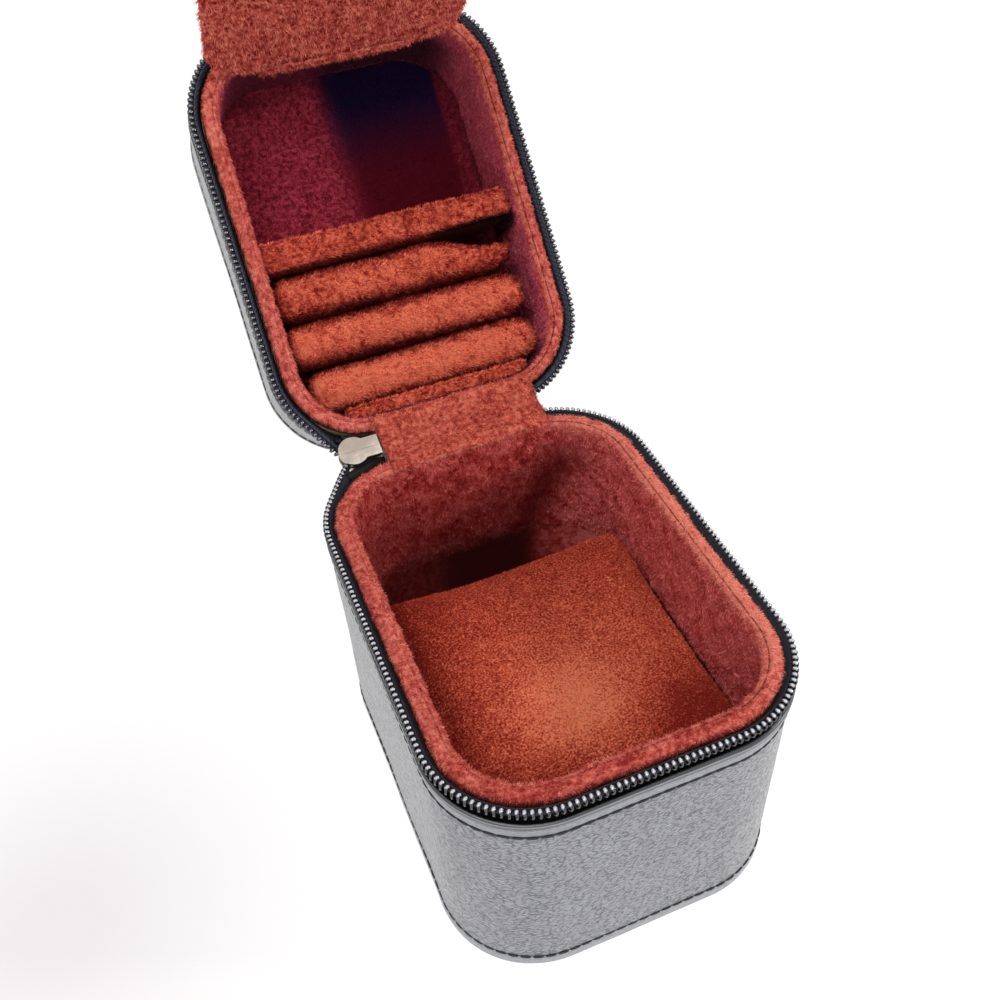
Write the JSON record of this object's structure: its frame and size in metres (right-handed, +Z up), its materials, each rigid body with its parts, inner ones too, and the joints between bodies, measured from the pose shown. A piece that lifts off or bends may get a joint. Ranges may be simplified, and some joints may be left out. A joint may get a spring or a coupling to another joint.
{
  "type": "watch travel case",
  "caption": "Zip-round leather travel case on its base, lid open: a cushion for one watch, a lined lid with a pocket, stuffed ring rolls and a hinged flap.",
  "frame": {"origin": "centre of the flat underside of the base", "axes": "+Z up, -Y to the front, +Y to the hinge side, +X to the right as seen from the front"},
  "size_m": [0.0828, 0.2075, 0.2112],
  "materials": {
    "black_leather": "satin grained",
    "red_suede": "short nap",
    "zip_tape": "woven",
    "zip_teeth": "gloss",
    "slider_metal": "plated",
    "stiffener_board": "matte",
    "padding_foam": "matte"
  },
  "bodies": {
    "base": {"base_bottom_leather": "black_leather", "base_wall_leather": "black_leather", "base_floor_board": "stiffener_board", "base_wall_board": "stiffener_board", "base_wall_foam": "padding_foam", "base_floor_lining": "red_suede", "base_wall_lining": "red_suede", "base_rim_collar": "red_suede", "base_zip_tape": "zip_tape", "base_zip_coil": "zip_teeth", "hinge_lining_strip": "red_suede", "hinge_leather_panel": "black_leather"},
    "cushion": {"watch_cushion_cover": "red_suede", "watch_cushion_core": "padding_foam"},
    "lid": {"lid_top_leather": "black_leather", "lid_wall_leather": "black_leather", "lid_top_board": "stiffener_board", "lid_wall_board": "stiffener_board", "lid_wall_foam": "padding_foam", "lid_top_lining": "red_suede", "lid_wall_lining": "red_suede", "lid_rim_collar": "red_suede", "lid_zip_tape": "zip_tape", "lid_zip_coil": "zip_teeth", "divider_cover": "red_suede", "divider_board": "stiffener_board", "ring_roll_1": "red_suede", "ring_roll_2": "red_suede", "ring_roll_3": "red_suede", "ring_roll_cores": "padding_foam", "ring_tray_ridge": "red_suede", "flap_strip": "red_suede"},
    "flap": {"flap_cover": "red_suede", "flap_board": "stiffener_board"},
    "slider": {"slider_body": "slider_metal"},
    "tab": {"pull_tab": "slider_metal"}
  },
  "joints": [
    {"name": "lid_hinge", "type": "hinge", "parent": "base", "child": "lid", "pos_m": [0, 0.0563, 0.06576], "axis": [1, 0, 0], "range_deg": [-12, 132.2], "deforming": ["hinge_lining_strip", "hinge_leather_panel"]},
    {"name": "flap_hinge", "type": "hinge", "parent": "lid", "child": "flap", "pos_m": [-0.0008, 0.12473, 0.13924], "axis": [1, 0, 0], "range_deg": [-9.6, 104.6]},
    {"name": "slider_tilt", "type": "hinge", "parent": "base", "child": "slider", "pos_m": [0, 0.0563, 0.06576], "axis": [1, 0, 0], "range_deg": [-6.1, 66.1]},
    {"name": "pull_tab_swing", "type": "hinge", "parent": "slider", "child": "tab", "pos_m": [-0.0256, 0.05767, 0.06451], "axis": [0, 0.9143, 0.4051], "range_deg": [-80, 80]},
    {"name": "cushion_lift", "type": "slide", "parent": "base", "child": "cushion", "axis": [0, 0, 1], "range_m": [0, 0.02]}
  ],
  "couplings": [
    {"joint": "flap_hinge", "follows": "lid_hinge", "ratio": 0.7912},
    {"joint": "slider_tilt", "follows": "lid_hinge", "ratio": 0.5}
  ]
}
